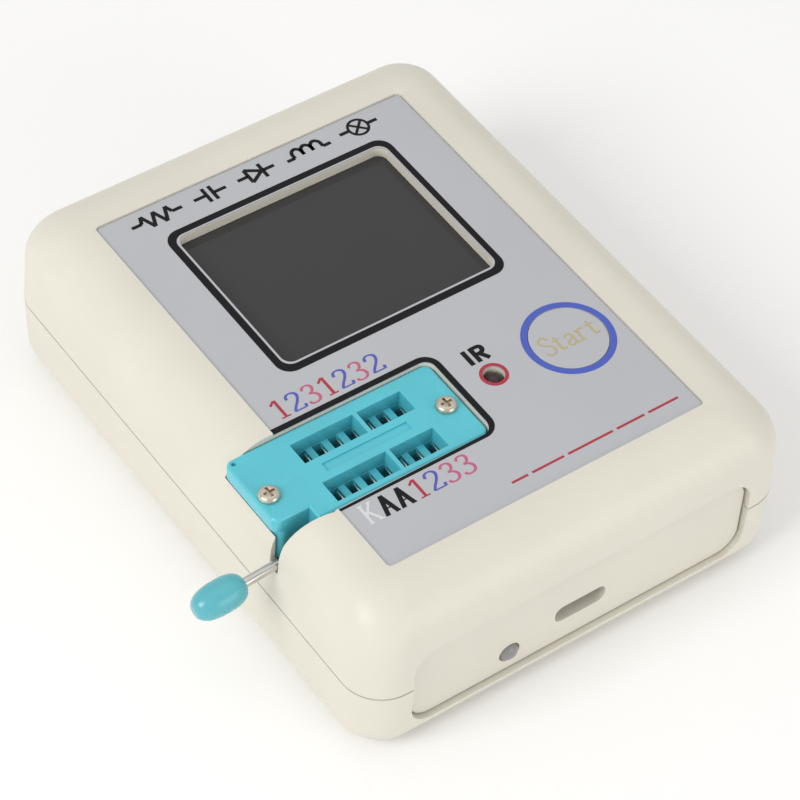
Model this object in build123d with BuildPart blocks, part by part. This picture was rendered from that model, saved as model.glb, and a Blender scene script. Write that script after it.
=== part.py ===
from build123d import *
import os
from math import cos, pi, radians, sin, tan

# Pocket component tester. X is to the right, Y away from the user, Z up.
# The origin is the centre of the flat base. The test socket's lever sticks out at -X,
# and the charging panel is the end at -Y. All sizes are in millimetres.

# ---- case ----
CASE_X, CASE_Y, CASE_Z = 70.0, 90.0, 28.0
PARTING_Z = 12.8            # height of the joint between the two shells
PARTING_GAP = 0.3           # open groove between the shells
WALL = 2.0
TOP_EDGE_R, BASE_EDGE_R = 7.2, 5.1
CORNER_R = 6.0              # vertical corner radius at the parting line
CORNER_SHRINK = 0.25        # how much of the inset comes off the corner radius
UPPER_DRAFT, LOWER_DRAFT = 2.2, 1.2
ARC_STEPS = 12
TONGUE_INSET, TONGUE_GAP, TONGUE_T, TONGUE_H = 0.9, 0.1, 0.9, 1.4

# ---- printed face label, in a shallow pocket ----
LABEL_X, LABEL_Y, LABEL_T = 51.2, 71.0, 0.2
LABEL_CX, LABEL_CY = -0.7, -0.55
LABEL_R = 0.6
POCKET_DEPTH = 0.5
POCKET_GAP = 0.15
LABEL_CUT = 0.05            # how far the label's openings clear the shell's
POCKET_Z = CASE_Z - POCKET_DEPTH
LABEL_TOP = POCKET_Z + LABEL_T

# ---- display ----
WINDOW_X, WINDOW_Y, WINDOW_R = 34.8, 27.8, 1.5
WINDOW_CX, WINDOW_CY = -0.5, 13.7
GLASS_X, GLASS_Y, GLASS_T = 46.0, 34.0, 1.5
GLASS_SHIFT = 2.4           # the glass is wider on its ribbon side
GLASS_TOP = CASE_Z - WALL - 0.05
FRAME_T = 1.6
DISPLAY_BOARD_X, DISPLAY_BOARD_Y, DISPLAY_BOARD_T = 52.6, 41.8, 1.6
DISPLAY_HOLE_X, DISPLAY_HOLE_Y, DISPLAY_HOLE_R = 48.2, 37.6, 1.2
FRAME_TOP = GLASS_TOP - GLASS_T
DISPLAY_BOARD_TOP = FRAME_TOP - FRAME_T
DISPLAY_BOARD_UNDER = DISPLAY_BOARD_TOP - DISPLAY_BOARD_T
DISPLAY_CX = WINDOW_CX + GLASS_SHIFT
DISPLAY_POST_R, DISPLAY_PILOT_R = 2.2, 0.9

# ---- main board and what stands on it ----
BOARD_X, BOARD_Y, BOARD_T = 60.0, 80.0, 1.6
BOARD_TOP = 8.9
BOARD_CY = -1.0
BOARD_NOTCH = 9.0           # square corner cut-outs clear of the case screws
BOARD_HOLE_X, BOARD_HOLE_Y, BOARD_HOLE_R = 54.0, 52.0, 1.35
FLOOR_Z = WALL
CASE_SCREW_X, CASE_SCREW_Y = 28.2, 38.0
CASE_BOSS_R = 3.4
CASE_SCREW_R, CASE_HEAD_R, CASE_HEAD_H = 1.3, 2.4, 1.8
CASE_HEAD_RECESS = 1.0
PILOT_R, PILOT_DEPTH = 1.3, 8.0
BOSS_MEET_Z = 6.0
SCREW_SLACK = 0.05
BOARD_POST_R, BOARD_PILOT_R = 3.0, 1.1
RIB_HALF_X, RIB_Y, RIB_T = 12.0, -41.35, 1.2
HEADER_HALF = 10.2

# ---- test socket with lever ----
SOCKET_LEFT, SOCKET_RIGHT = -33.7, -1.65
COVER_LEFT = -34.3          # the cover runs out over the shell's rim on the left
SOCKET_REAR, SOCKET_FRONT = -9.7, -24.1
SOCKET_BOTTOM = 16.4
COVER_TOP, COVER_T, COVER_R, COVER_EDGE = 27.2, 2.3, 1.2, 0.25
STEP_X, STEP_Y = -28.95, -21.85     # the body is narrower left of the step, beside the lever
COVER_SCREWS = [(-32.4, -17.6), (-4.05, -17.45)]
COVER_SCREW_R, COVER_HEAD_R, COVER_HEAD_H = 0.8, 1.5, 0.9
COVER_SCREW_LENGTH = 4.2
MARK_X, MARK_Y, MARK_DEPTH = 13.6, 1.5, 0.3
MARK_CENTRE = (-16.8, -17.45)
DIMPLE = (-33.3, -10.6)
DIMPLE_R = 0.35
PITCH, ROW_GAP, COLUMNS = 2.54, 7.62, 7
GRID_CY = -17.5
FIRST_SLOT_X = -23.65
SLOT_X, SLOT_Y = 1.5, 3.6
ROW_WINDOWS = [(-25.35, -15.33), (-14.73, -7.7)]     # left and right edge of each window
ROW_WINDOW_Y = 3.7
SLIDER_T, SLIDER_GAP, SLIDER_TRAVEL = 1.8, 0.1, 0.7
SLIDER_X0, SLIDER_X1, SLIDER_Y0, SLIDER_Y1 = -27.4, -6.2, -23.5, -11.5
CONTACT_T, CONTACT_W, CONTACT_OFFSET = 0.25, 2.6, 0.4
CONTACT_TOP, PIN_BOTTOM, PIN_W, SHOULDER_H = 24.7, 13.0, 0.5, 1.6
RISER_W = 2.5

# ---- lever, clamped position ----
ROD_R = 0.7
LEVER_X, LEVER_Y, LEVER_Z = -30.0, -22.65, 20.2
LEVER_DROP = 5.5            # degrees below level
ROD_BEND_R = 1.4
ROD_LENGTH = 14.0           # from the shaft's axis to the end inside the knob
SHAFT_END_Y = -13.0
SHAFT_CLEARANCE = 0.05
BEND_RECESS_R, BEND_RECESS = 1.15, 0.8
KNOB_START, KNOB_LENGTH, KNOB_R = 9.55, 7.6, 2.4
KNOB_END = 0.42             # radius of the knob's flat ends, as a share of its own
KNOB_PROFILE = [            # share of the length along, share of the radius out
    (0, KNOB_END), (0.06, 0.7), (0.2, 0.92), (0.44, 1.0), (0.7, 0.95), (0.9, 0.74), (1, KNOB_END)]
CAM_R, CAM_OFFSET, CAM_Y0, CAM_Y1 = 1.6, 0.5, -21.1, -19.3
CAM_ANGLE = 135.0           # direction of the lobe, from +X towards +Z
TAB_T, TAB_BOTTOM, CAM_GAP = 0.8, 19.0, 0.1

# ---- opening for the socket and lever in the upper shell ----
OPENING_LEFT, OPENING_RIGHT = -33.95, -1.4
OPENING_REAR, OPENING_FRONT = -9.6, -24.45
OPENING_R = 1.6
SLANT_X0, SLANT_X1, SLANT_Y = -25.9, -27.2, -24.9   # the front edge slants in beside the lever
NOTCH_REAR, NOTCH_FRONT, NOTCH_FLOOR = -21.6, -23.45, 18.7

# ---- front panel, charging socket and lamp ----
PANEL_X, PANEL_Z, PANEL_R = 55.0, 14.0, 3.4
PANEL_CZ = 11.7
PANEL_FACE, PANEL_T = -44.1, 1.8
PANEL_GAP, PANEL_EDGE_R = 0.3, 0.25
PANEL_FLANGE, PANEL_FLANGE_T = 1.2, 0.8
USB_X, USB_CZ, USB_W, USB_H = 0.1, 10.35, 8.4, 3.0
USB_BODY_X, USB_BODY_Z, USB_BODY_Y, USB_SKIN = 7.6, 2.65, 5.6, 0.3
USB_FRONT, USB_CORNER_R, USB_TONGUE_Z = -41.2, 1.3, 10.1
LAMP_X, LAMP_Z, LAMP_R, LAMP_HOLE_R = -11.45, 8.1, 1.5, 1.65
LAMP_SLOT, LAMP_SLOT_END = 2.1, -35.5
LAMP_TIP, LAMP_REAR, LAMP_RIM_R, LAMP_RIM_T = -44.9, -39.9, 1.9, 1.0

# ---- start button and infrared window ----
START_X, START_Y = 16.95, -16.7
PAD_R, PAD_GAP = 5.55, 0.1
KEY_GAP, KEY_FLANGE_R, KEY_FLANGE_T, KEY_STEM_R = 0.15, 6.6, 0.8, 2.4
SWITCH_SIDE, SWITCH_H, SWITCH_STEM_R, SWITCH_STEM_TOP = 12.0, 3.6, 3.2, 16.2
SWITCH_FLOOR_GAP = 0.5
IR_X, IR_Y, IR_HOLE_R = 4.45, -16.6, 1.5
IR_DOME_R, IR_BODY_R, IR_BODY_H, IR_DOME_TOP = 1.42, 2.4, 3.1, 27.4

# ---- battery ----
BATTERY_X, BATTERY_Y, BATTERY_Z = 40.0, 30.0, 5.0
BATTERY_CX, BATTERY_CY = -2.0, 14.0
TAPE_T = 0.8


def finish(part, label):
    """Label a finished sub-part and write it to its own file."""
    part.part.label = label
    export_step(part.part, f"parts/{label}.step")


def edge_profile(height, edge_radius, draft, wall):
    """Inset and rise of each section, from the parting line to the flat face."""
    lean = radians(draft)
    centre_rise = height - edge_radius
    centre_inset = centre_rise * tan(lean) + edge_radius / cos(lean)
    radius = edge_radius - wall
    sections = [(wall / cos(lean), 0.0), (wall / cos(lean) + centre_rise / 2 * tan(lean), centre_rise / 2)]
    for step in range(ARC_STEPS + 1):
        turn = lean + (pi / 2 - lean) * step / ARC_STEPS
        sections.append((centre_inset - radius * cos(turn), centre_rise + radius * sin(turn)))
    return sections


def shell_body(height, edge_radius, draft, direction, wall=0.0, mode=Mode.ADD):
    """Loft one half of the case, upwards or downwards from the parting line."""
    sections = []
    for inset, rise in edge_profile(height, edge_radius, draft, wall):
        corner = CORNER_R - wall * 0.7 - CORNER_SHRINK * inset
        with BuildSketch(Plane.XY.offset(PARTING_Z + direction * rise)) as outline:
            RectangleRounded(CASE_X - 2 * inset, CASE_Y - 2 * inset, corner)
        sections.append(outline.sketch)
    loft(sections, ruled=True, mode=mode)


def plate(width, length, low, high, centre=(0, 0), corner=0.0, mode=Mode.ADD):
    """A flat block between two heights, with optional rounded corners."""
    with BuildSketch(Plane.XY.offset(low)) as outline:
        with Locations(centre):
            if corner:
                RectangleRounded(width, length, corner)
            else:
                Rectangle(width, length)
    extrude(outline.sketch, amount=high - low, mode=mode)


def block(x0, x1, y0, y1, z0, z1, mode=Mode.ADD):
    """A box given by its limits along each axis."""
    plate(x1 - x0, y1 - y0, z0, z1, ((x0 + x1) / 2, (y0 + y1) / 2), mode=mode)


def post(points, radius, low, high, mode=Mode.ADD):
    """Round posts or holes between two heights."""
    with BuildSketch(Plane.XY.offset(low)) as outline:
        with Locations(*points):
            Circle(radius)
    extrude(outline.sketch, amount=high - low, mode=mode)


def front_plate(width, height, near, far, corner, mode=Mode.ADD):
    """A rounded plate in the plane of the front panel, between two depths."""
    with BuildSketch(Plane.XZ.offset(-near)) as outline:
        with Locations((0, PANEL_CZ)):
            RectangleRounded(width, height, corner)
    extrude(outline.sketch, amount=near - far, mode=mode)


def corners(half_x, half_y, centre=(0, 0)):
    """The four corner points of a rectangle."""
    return [(centre[0] + sx * half_x, centre[1] + sy * half_y) for sx in (-1, 1) for sy in (-1, 1)]


def rod_along_y(x, z, radius, near, far, mode=Mode.ADD):
    """A round rod or bore along Y, from the near depth to the far one."""
    with BuildSketch(Plane.XZ.offset(-near)) as outline:
        with Locations((x, z)):
            Circle(radius)
    extrude(outline.sketch, amount=near - far, mode=mode)


def cross_slots(points, length, width, low, high):
    """Cut a cross-shaped driver recess at each point."""
    for point in points:
        plate(length, width, low, high, point, mode=Mode.SUBTRACT)
        plate(width, length, low, high, point, mode=Mode.SUBTRACT)


def opening_outline(margin):
    """Plan of the socket opening, narrowed beside the lever on the left."""
    with BuildSketch() as outline:
        with BuildLine():
            Polyline(
                (OPENING_LEFT - margin, OPENING_REAR + margin),
                (OPENING_RIGHT + margin, OPENING_REAR + margin),
                (OPENING_RIGHT + margin, OPENING_FRONT - margin),
                (SLANT_X0, OPENING_FRONT - margin),
                (SLANT_X1, SLANT_Y - margin),
                (OPENING_LEFT - margin, NOTCH_FRONT - margin),
                close=True,
            )
        make_face()
        fillet(outline.vertices().group_by(Axis.X)[-1], OPENING_R)
    return outline.sketch


def socket_outline(left):
    """Plan of the socket from its left edge, stepped in beside the lever."""
    with BuildSketch() as outline:
        with BuildLine():
            Polyline(
                (left, SOCKET_REAR),
                (SOCKET_RIGHT, SOCKET_REAR),
                (SOCKET_RIGHT, SOCKET_FRONT),
                (STEP_X, SOCKET_FRONT),
                (STEP_X, STEP_Y),
                (left, STEP_Y),
                close=True,
            )
        make_face()
        fillet(outline.vertices().group_by(Axis.X)[0], COVER_R)
        fillet(outline.vertices().group_by(Axis.X)[-1], COVER_R)
    return outline.sketch


def lift(sketch, low, high, mode=Mode.ADD):
    """Extrude a plan outline between two heights."""
    extrude(Plane.XY.offset(low) * sketch, amount=high - low, mode=mode)


CASE_SCREWS = corners(CASE_SCREW_X, CASE_SCREW_Y)
BOARD_SCREWS = corners(BOARD_HOLE_X / 2, BOARD_HOLE_Y / 2, (0, BOARD_CY))
DISPLAY_SCREWS = corners(DISPLAY_HOLE_X / 2, DISPLAY_HOLE_Y / 2, (DISPLAY_CX, WINDOW_CY))
SLOT_COLUMNS = [FIRST_SLOT_X + PITCH * column for column in range(COLUMNS)]
SLOT_ROWS = (GRID_CY + ROW_GAP / 2, GRID_CY - ROW_GAP / 2)
SLOTS = [(x, y) for x in SLOT_COLUMNS for y in SLOT_ROWS]
COVER_UNDER = COVER_TOP - COVER_T
SLIDER_TOP = COVER_UNDER - SLIDER_GAP
SLIDER_UNDER = SLIDER_TOP - SLIDER_T
BOARD_UNDER = BOARD_TOP - BOARD_T
CEILING = CASE_Z - WALL
TAB_X = LEVER_X + CAM_R + CAM_OFFSET * cos(radians(CAM_ANGLE)) + CAM_GAP

os.makedirs("parts", exist_ok=True)

# ======== case ========

# upper shell: rounded lid with a label pocket, window, socket opening and lever notch
with BuildPart() as upper_shell:
    shell_body(CASE_Z - PARTING_Z, TOP_EDGE_R, UPPER_DRAFT, 1)
    shell_body(CASE_Z - PARTING_Z, TOP_EDGE_R, UPPER_DRAFT, 1, WALL, Mode.SUBTRACT)
    # open groove at the parting line, and a rebate behind it for the lower shell's tongue
    plate(CASE_X + 2, CASE_Y + 2, PARTING_Z - 1, PARTING_Z + PARTING_GAP / 2, mode=Mode.SUBTRACT)
    plate(CASE_X - 2 * TONGUE_INSET, CASE_Y - 2 * TONGUE_INSET, PARTING_Z, PARTING_Z + TONGUE_H,
          corner=CORNER_R - TONGUE_INSET, mode=Mode.SUBTRACT)
    # bosses for the case screws and the display board
    post(CASE_SCREWS, CASE_BOSS_R, BOSS_MEET_Z, CEILING)
    post(CASE_SCREWS, PILOT_R, BOSS_MEET_Z, BOSS_MEET_Z + PILOT_DEPTH, Mode.SUBTRACT)
    post(DISPLAY_SCREWS, DISPLAY_POST_R, DISPLAY_BOARD_TOP, CEILING + 0.2)
    post(DISPLAY_SCREWS, DISPLAY_PILOT_R, DISPLAY_BOARD_TOP, CEILING, Mode.SUBTRACT)
    # rib behind the front panel
    block(-RIB_HALF_X, RIB_HALF_X, RIB_Y, RIB_Y + RIB_T, PANEL_CZ + PANEL_Z / 2, CEILING + 0.2)
    # pocket for the label, and the openings through it
    plate(LABEL_X + 2 * POCKET_GAP, LABEL_Y + 2 * POCKET_GAP, POCKET_Z, CASE_Z + 1,
          (LABEL_CX, LABEL_CY), LABEL_R + POCKET_GAP, Mode.SUBTRACT)
    plate(WINDOW_X, WINDOW_Y, CEILING - 1, CASE_Z, (WINDOW_CX, WINDOW_CY), WINDOW_R, Mode.SUBTRACT)
    lift(opening_outline(0), SOCKET_BOTTOM - 0.3, CASE_Z + 1, Mode.SUBTRACT)
    block(-CASE_X, OPENING_LEFT + 0.5, NOTCH_FRONT, NOTCH_REAR, NOTCH_FLOOR, CASE_Z, Mode.SUBTRACT)
    post([(START_X, START_Y)], PAD_R + PAD_GAP, CEILING - 1, CASE_Z, Mode.SUBTRACT)
    post([(IR_X, IR_Y)], IR_HOLE_R, CEILING - 1, CASE_Z, Mode.SUBTRACT)
    front_plate(PANEL_X + 2 * PANEL_GAP, PANEL_Z + 2 * PANEL_GAP, -CASE_Y, PANEL_FACE + PANEL_T,
                PANEL_R + PANEL_GAP, Mode.SUBTRACT)
finish(upper_shell, "upper_shell")

# lower shell: shallow tray with a tongue, screw bosses and board posts
with BuildPart() as lower_shell:
    shell_body(PARTING_Z, BASE_EDGE_R, LOWER_DRAFT, -1)
    shell_body(PARTING_Z, BASE_EDGE_R, LOWER_DRAFT, -1, WALL, Mode.SUBTRACT)
    plate(CASE_X + 2, CASE_Y + 2, PARTING_Z - PARTING_GAP / 2, PARTING_Z + 1, mode=Mode.SUBTRACT)
    tongue_outer = TONGUE_INSET + TONGUE_GAP
    tongue_inner = tongue_outer + TONGUE_T
    tongue_base = PARTING_Z - 3 * TONGUE_H
    plate(CASE_X - 2 * tongue_outer, CASE_Y - 2 * tongue_outer, tongue_base, PARTING_Z + TONGUE_H,
          corner=CORNER_R - tongue_outer)
    plate(CASE_X - 2 * tongue_inner, CASE_Y - 2 * tongue_inner, tongue_base - 1, PARTING_Z + TONGUE_H,
          corner=CORNER_R - tongue_inner, mode=Mode.SUBTRACT)
    post(CASE_SCREWS, CASE_BOSS_R, FLOOR_Z / 2, BOSS_MEET_Z)
    post(CASE_SCREWS, CASE_SCREW_R + PAD_GAP, 0, BOSS_MEET_Z, Mode.SUBTRACT)
    post(CASE_SCREWS, CASE_HEAD_R + PAD_GAP, 0, CASE_HEAD_RECESS + CASE_HEAD_H, Mode.SUBTRACT)
    post(BOARD_SCREWS, BOARD_POST_R, FLOOR_Z / 2, BOARD_UNDER)
    post(BOARD_SCREWS, BOARD_PILOT_R, FLOOR_Z, BOARD_UNDER, Mode.SUBTRACT)
    block(-RIB_HALF_X, RIB_HALF_X, RIB_Y, RIB_Y + RIB_T, FLOOR_Z / 2, PANEL_CZ - PANEL_Z / 2)
    front_plate(PANEL_X + 2 * PANEL_GAP, PANEL_Z + 2 * PANEL_GAP, -CASE_Y, PANEL_FACE + PANEL_T,
                PANEL_R + PANEL_GAP, Mode.SUBTRACT)
finish(lower_shell, "lower_shell")

# front panel: flat plate held between the shells, with the charging slot and the lamp hole
with BuildPart() as front_panel:
    front_plate(PANEL_X, PANEL_Z, PANEL_FACE, PANEL_FACE + PANEL_T, PANEL_R)
    fillet(front_panel.faces().sort_by(Axis.Y)[0].edges(), PANEL_EDGE_R)
    front_plate(PANEL_X + 2 * PANEL_FLANGE, PANEL_Z + 2 * PANEL_FLANGE, PANEL_FACE + PANEL_T,
                PANEL_FACE + PANEL_T + PANEL_FLANGE_T, PANEL_R + PANEL_FLANGE)
    with BuildSketch(Plane.XZ.offset(-PANEL_FACE)):
        with Locations((USB_X, USB_CZ)):
            RectangleRounded(USB_W, USB_H, USB_CORNER_R)
        with Locations((LAMP_X, LAMP_Z)):
            Circle(LAMP_HOLE_R)
    extrude(amount=-2 * PANEL_T, mode=Mode.SUBTRACT)
finish(front_panel, "front_panel")

# four countersunk case screws, driven from below into the upper shell's bosses
with BuildPart() as case_screws:
    head_top = CASE_HEAD_RECESS + CASE_HEAD_H
    post(CASE_SCREWS, CASE_HEAD_R, CASE_HEAD_RECESS, head_top)
    post(CASE_SCREWS, CASE_SCREW_R - SCREW_SLACK, head_top, BOSS_MEET_Z + PILOT_DEPTH - 1)
    cross_slots(CASE_SCREWS, CASE_HEAD_R * 1.2, 0.6, CASE_HEAD_RECESS, CASE_HEAD_RECESS + 0.9)
finish(case_screws, "case_screws")

# ======== label and start button ========

# printed face label, with the window, socket, button and infrared openings
with BuildPart() as face_label:
    plate(LABEL_X, LABEL_Y, POCKET_Z, LABEL_TOP, (LABEL_CX, LABEL_CY), LABEL_R)
    plate(WINDOW_X + 2 * LABEL_CUT, WINDOW_Y + 2 * LABEL_CUT, POCKET_Z, LABEL_TOP,
          (WINDOW_CX, WINDOW_CY), WINDOW_R + LABEL_CUT, Mode.SUBTRACT)
    lift(opening_outline(LABEL_CUT), POCKET_Z, LABEL_TOP, Mode.SUBTRACT)
    post([(START_X, START_Y)], PAD_R + PAD_GAP, POCKET_Z, LABEL_TOP, Mode.SUBTRACT)
    post([(IR_X, IR_Y)], IR_HOLE_R, POCKET_Z, LABEL_TOP, Mode.SUBTRACT)
finish(face_label, "face_label")

# disc of the label inside the ring, which goes down with the button
with BuildPart() as start_pad:
    post([(START_X, START_Y)], PAD_R, POCKET_Z, LABEL_TOP)
finish(start_pad, "start_pad")

# button: head in the lid's hole, a flange that stops it coming out, and a stem to the switch
with BuildPart() as start_key:
    flange_top = CEILING - KEY_GAP
    post([(START_X, START_Y)], PAD_R - KEY_GAP / 3, flange_top, POCKET_Z)
    post([(START_X, START_Y)], KEY_FLANGE_R, flange_top - KEY_FLANGE_T, flange_top)
    post([(START_X, START_Y)], KEY_STEM_R, SWITCH_STEM_TOP, flange_top - KEY_FLANGE_T)
finish(start_key, "start_key")

# tactile switch: square body with a round stem
with BuildPart() as switch_body:
    plate(SWITCH_SIDE, SWITCH_SIDE, BOARD_TOP, BOARD_TOP + SWITCH_H, (START_X, START_Y), 0.8)
    post([(START_X, START_Y)], SWITCH_STEM_R + KEY_GAP, BOARD_TOP + 1, BOARD_TOP + SWITCH_H, Mode.SUBTRACT)
finish(switch_body, "switch_body")

with BuildPart() as switch_stem:
    post([(START_X, START_Y)], SWITCH_STEM_R, BOARD_TOP + 1 + SWITCH_FLOOR_GAP, SWITCH_STEM_TOP)
    fillet(switch_stem.faces().sort_by(Axis.Z)[-1].edges(), 0.3)
finish(switch_stem, "switch_stem")

# ======== display ========

with BuildPart() as display_glass:
    plate(GLASS_X, GLASS_Y, FRAME_TOP, GLASS_TOP, (DISPLAY_CX, WINDOW_CY), 0.5)
finish(display_glass, "display_glass")

# white backlight tray under the glass
with BuildPart() as display_frame:
    plate(GLASS_X, GLASS_Y, DISPLAY_BOARD_TOP, FRAME_TOP, (DISPLAY_CX, WINDOW_CY), 0.5)
finish(display_frame, "display_frame")

with BuildPart() as display_board:
    plate(DISPLAY_BOARD_X, DISPLAY_BOARD_Y, DISPLAY_BOARD_UNDER, DISPLAY_BOARD_TOP,
          (DISPLAY_CX, WINDOW_CY), 2.0)
    post(DISPLAY_SCREWS, DISPLAY_HOLE_R, DISPLAY_BOARD_UNDER, DISPLAY_BOARD_TOP, Mode.SUBTRACT)
finish(display_board, "display_board")

with BuildPart() as display_screws:
    post(DISPLAY_SCREWS, 1.9, DISPLAY_BOARD_UNDER - 1.2, DISPLAY_BOARD_UNDER)
    post(DISPLAY_SCREWS, DISPLAY_PILOT_R - SCREW_SLACK, DISPLAY_BOARD_UNDER, CEILING - 0.6)
    cross_slots(DISPLAY_SCREWS, 2.2, 0.5, DISPLAY_BOARD_UNDER - 1.2, DISPLAY_BOARD_UNDER - 0.6)
finish(display_screws, "display_screws")

# pin strip between the display board and the main board
with BuildPart() as display_header:
    header_y = WINDOW_CY + DISPLAY_BOARD_Y / 2 - 2.2
    block(DISPLAY_CX - HEADER_HALF, DISPLAY_CX + HEADER_HALF, header_y - 1.25, header_y + 1.25,
          BOARD_TOP, DISPLAY_BOARD_UNDER)
finish(display_header, "display_header")

# ======== main board and its components ========

with BuildPart() as main_board:
    plate(BOARD_X, BOARD_Y, BOARD_UNDER, BOARD_TOP, (0, BOARD_CY))
    for x, y in corners(BOARD_X / 2 - BOARD_NOTCH / 2, BOARD_Y / 2 - BOARD_NOTCH / 2, (0, BOARD_CY)):
        plate(BOARD_NOTCH, BOARD_NOTCH, BOARD_UNDER, BOARD_TOP, (x, y), mode=Mode.SUBTRACT)
    post(BOARD_SCREWS, BOARD_HOLE_R, BOARD_UNDER, BOARD_TOP, Mode.SUBTRACT)
    # slot in the front edge for the lamp
    block(LAMP_X - LAMP_SLOT, LAMP_X + LAMP_SLOT, BOARD_CY - BOARD_Y / 2 - 1, LAMP_SLOT_END,
          BOARD_UNDER, BOARD_TOP, Mode.SUBTRACT)
finish(main_board, "main_board")

with BuildPart() as board_screws:
    post(BOARD_SCREWS, 2.4, BOARD_TOP, BOARD_TOP + 1.5)
    post(BOARD_SCREWS, BOARD_PILOT_R - SCREW_SLACK, FLOOR_Z + 0.5, BOARD_TOP)
    cross_slots(BOARD_SCREWS, 2.8, 0.6, BOARD_TOP + 0.7, BOARD_TOP + 1.5)
finish(board_screws, "board_screws")

with BuildPart() as microcontroller:
    plate(7.0, 7.0, BOARD_TOP + 0.1, BOARD_TOP + 1.1, (14.0, -30.0))
    for side in (-1, 1):
        for leg in range(8):
            offset = (leg - 3.5) * 0.8
            plate(1.0, 0.35, BOARD_TOP, BOARD_TOP + 0.3, (14.0 + side * 4.0, -30.0 + offset))
            plate(0.35, 1.0, BOARD_TOP, BOARD_TOP + 0.3, (14.0 + offset, -30.0 + side * 4.0))
finish(microcontroller, "microcontroller")

with BuildPart() as crystal:
    plate(10.0, 3.8, BOARD_TOP, BOARD_TOP + 3.4, (13.0, -37.6), 1.8)
finish(crystal, "crystal")

with BuildPart() as inductor:
    plate(7.0, 7.0, BOARD_TOP, BOARD_TOP + 1.0, (-22.0, -33.0), 1.0)
    post([(-22.0, -33.0)], 3.3, BOARD_TOP + 1.0, BOARD_TOP + 4.0)
finish(inductor, "inductor")

with BuildPart() as capacitors:
    post([(25.5, -6.0), (25.5, 0.5)], 2.5, BOARD_TOP, BOARD_TOP + 7.0)
    fillet(capacitors.faces().group_by(Axis.Z)[-1].edges(), 0.4)
finish(capacitors, "capacitors")

with BuildPart() as charger_chip:
    plate(5.0, 4.0, BOARD_TOP, BOARD_TOP + 1.5, (5.5, -30.0))
finish(charger_chip, "charger_chip")

# small resistors and capacitors in rows
with BuildPart() as chip_parts:
    for column in range(5):
        for row in range(2):
            plate(1.6, 0.8, BOARD_TOP, BOARD_TOP + 0.6, (-14.0 + 2.8 * column, -27.5 - 2.2 * row))
finish(chip_parts, "chip_parts")

# ======== charging socket and lamp ========

with BuildPart() as usb_shell:
    usb_low = BOARD_TOP
    block(USB_X - USB_BODY_X / 2, USB_X + USB_BODY_X / 2, USB_FRONT, USB_FRONT + USB_BODY_Y,
          usb_low, usb_low + USB_BODY_Z)
    fillet(usb_shell.edges().filter_by(Axis.Y), 0.6)
    block(USB_X - USB_BODY_X / 2 + USB_SKIN, USB_X + USB_BODY_X / 2 - USB_SKIN, USB_FRONT,
          USB_FRONT + USB_BODY_Y - USB_SKIN, usb_low + USB_SKIN, usb_low + USB_BODY_Z - USB_SKIN,
          Mode.SUBTRACT)
finish(usb_shell, "usb_shell")

with BuildPart() as usb_tongue:
    block(USB_X - 1.8, USB_X + 1.8, USB_FRONT + 0.5, USB_FRONT + 4.2, USB_TONGUE_Z, USB_TONGUE_Z + 0.6)
    block(USB_X - 3.2, USB_X + 3.2, USB_FRONT + 4.2, USB_FRONT + USB_BODY_Y - USB_SKIN,
          usb_low + USB_SKIN, usb_low + USB_BODY_Z - USB_SKIN)
finish(usb_tongue, "usb_tongue")

# round indicator lamp lying in the slot of the board, its dome in the panel's hole
with BuildPart() as charge_lamp:
    rod_along_y(LAMP_X, LAMP_Z, LAMP_R, LAMP_TIP, LAMP_REAR)
    fillet(charge_lamp.faces().sort_by(Axis.Y)[0].edges(), LAMP_R - 0.1)
    rod_along_y(LAMP_X, LAMP_Z, LAMP_RIM_R, LAMP_REAR - LAMP_RIM_T, LAMP_REAR)
finish(charge_lamp, "charge_lamp")

with BuildPart() as lamp_leads:
    for side in (-1, 1):
        lead_x = LAMP_X + side * 1.27
        block(lead_x - 0.25, lead_x + 0.25, LAMP_REAR, LAMP_SLOT_END, LAMP_Z - 0.25, LAMP_Z + 0.25)
finish(lamp_leads, "lamp_leads")

# ======== infrared receiver ========

with BuildPart() as ir_receiver:
    ir_body_top = CEILING - 0.3
    post([(IR_X, IR_Y)], IR_BODY_R, ir_body_top - IR_BODY_H, ir_body_top)
    post([(IR_X, IR_Y)], IR_DOME_R, ir_body_top, IR_DOME_TOP)
    fillet(ir_receiver.faces().sort_by(Axis.Z)[-1].edges(), IR_DOME_R - 0.15)
finish(ir_receiver, "ir_receiver")

with BuildPart() as ir_leads:
    post([(IR_X + 1.2 * k, IR_Y) for k in (-1, 0, 1)], 0.3, BOARD_TOP, ir_body_top - IR_BODY_H)
finish(ir_leads, "ir_leads")

# ======== battery ========

with BuildPart() as battery_tape:
    plate(BATTERY_X - 6, BATTERY_Y - 6, BOARD_TOP, BOARD_TOP + TAPE_T, (BATTERY_CX, BATTERY_CY))
finish(battery_tape, "battery_tape")

with BuildPart() as battery:
    plate(BATTERY_X, BATTERY_Y, BOARD_TOP + TAPE_T, BOARD_TOP + TAPE_T + BATTERY_Z,
          (BATTERY_CX, BATTERY_CY))
    fillet(battery.edges().filter_by(Axis.Y), 2.0)
finish(battery, "battery")

with BuildPart() as battery_plug:
    plate(6.0, 7.0, BOARD_TOP, BOARD_TOP + 5.5, (26.0, 8.0))
finish(battery_plug, "battery_plug")

# two insulated wires from the battery to its plug
with BuildPart() as battery_wires:
    for wire_y in (6.8, 9.2):
        with BuildSketch(Plane.YZ.offset(BATTERY_CX + BATTERY_X / 2)):
            with Locations((wire_y, BOARD_TOP + TAPE_T + BATTERY_Z / 2)):
                Circle(0.6)
    extrude(amount=23.0 - BATTERY_CX - BATTERY_X / 2)
finish(battery_wires, "battery_wires")

# ======== test socket ========

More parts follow.
